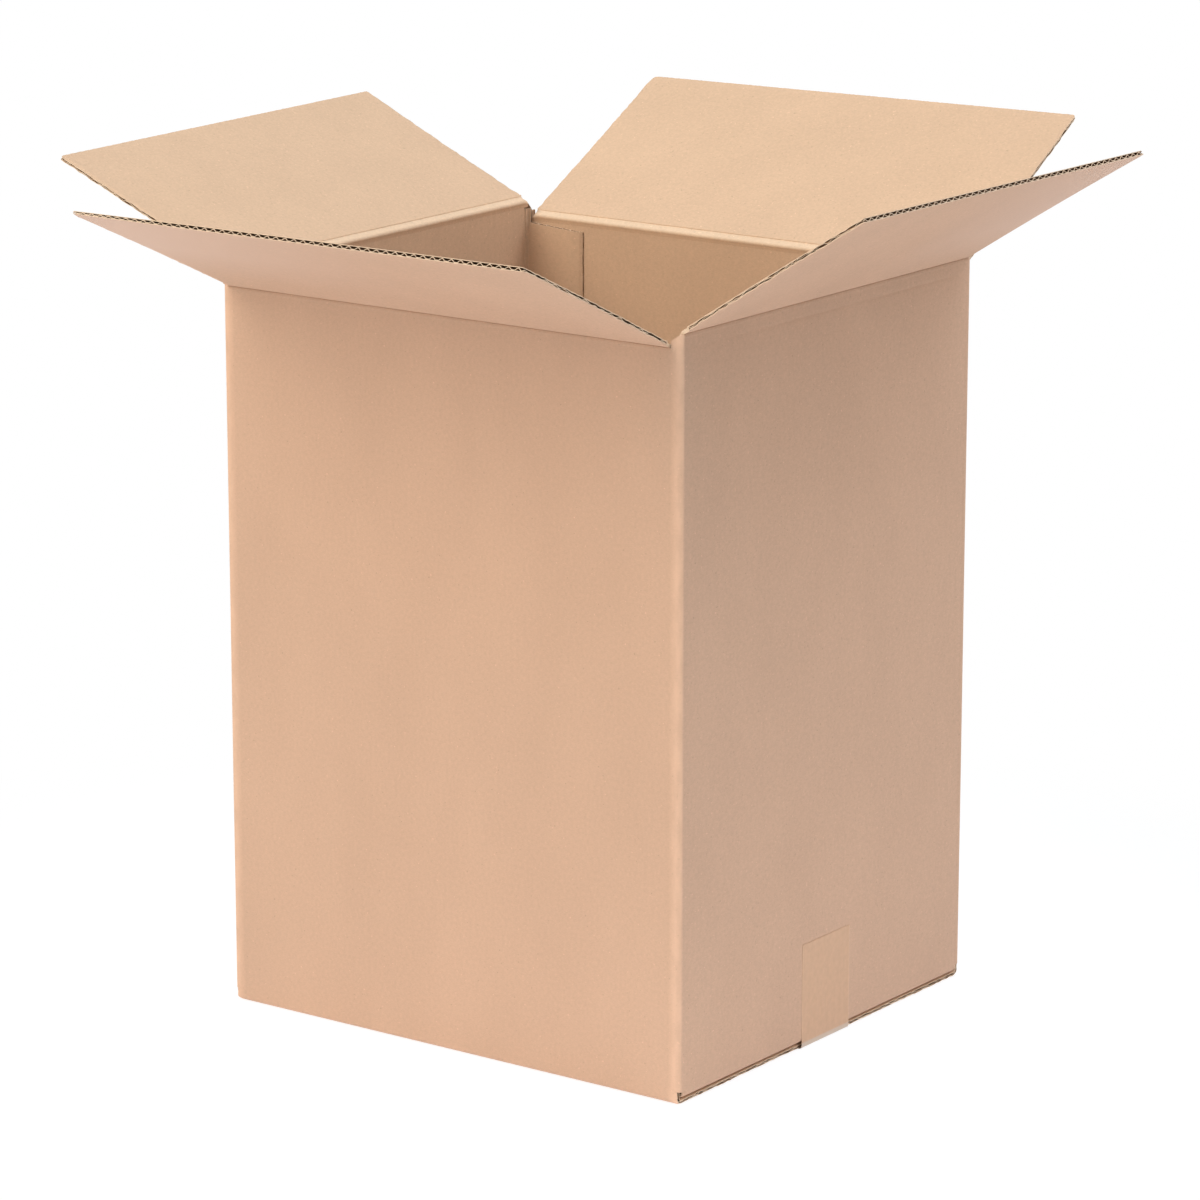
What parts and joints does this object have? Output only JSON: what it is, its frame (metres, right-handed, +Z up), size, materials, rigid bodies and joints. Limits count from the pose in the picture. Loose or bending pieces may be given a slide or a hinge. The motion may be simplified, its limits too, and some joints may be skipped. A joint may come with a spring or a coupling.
{
  "type": "open cardboard box",
  "caption": "Empty corrugated cardboard shipping box standing open, its top flaps folded outwards and its bottom closed with a strip of tape.",
  "frame": {"origin": "middle of the underside, on the floor that the box stands on", "axes": "+X along the two long panels towards the taped end panel seen in the picture, +Y along the end panels away from the front long panel, +Z up out of the open mouth"},
  "size_m": [0.5777, 0.5618, 0.527],
  "materials": {
    "corrugated_board": "matt uncoated kraft paper",
    "packing_tape": "thin tan packing tape, low sheen"
  },
  "bodies": {
    "box": {"box_shell": "corrugated_board", "bottom_tape": "packing_tape"},
    "front_flap": {"front_flap": "corrugated_board"},
    "back_flap": {"back_flap": "corrugated_board"},
    "right_flap": {"right_flap": "corrugated_board"},
    "left_flap": {"left_flap": "corrugated_board"}
  },
  "joints": [
    {"name": "front_flap_fold", "type": "hinge", "parent": "box", "child": "front_flap", "pos_m": [-0.0023, -0.15, 0.442], "axis": [-1, 0, 0], "range_deg": [-105.5, 154.5]},
    {"name": "back_flap_fold", "type": "hinge", "parent": "box", "child": "back_flap", "pos_m": [0, 0.15, 0.442], "axis": [1, 0, 0], "range_deg": [-110, 150]},
    {"name": "right_flap_fold", "type": "hinge", "parent": "box", "child": "right_flap", "pos_m": [0.166, 0, 0.4505], "axis": [0, -1, 0], "range_deg": [-112, 148]},
    {"name": "left_flap_fold", "type": "hinge", "parent": "box", "child": "left_flap", "pos_m": [-0.166, 0, 0.4505], "axis": [0, 1, 0], "range_deg": [-104, 156]}
  ]
}
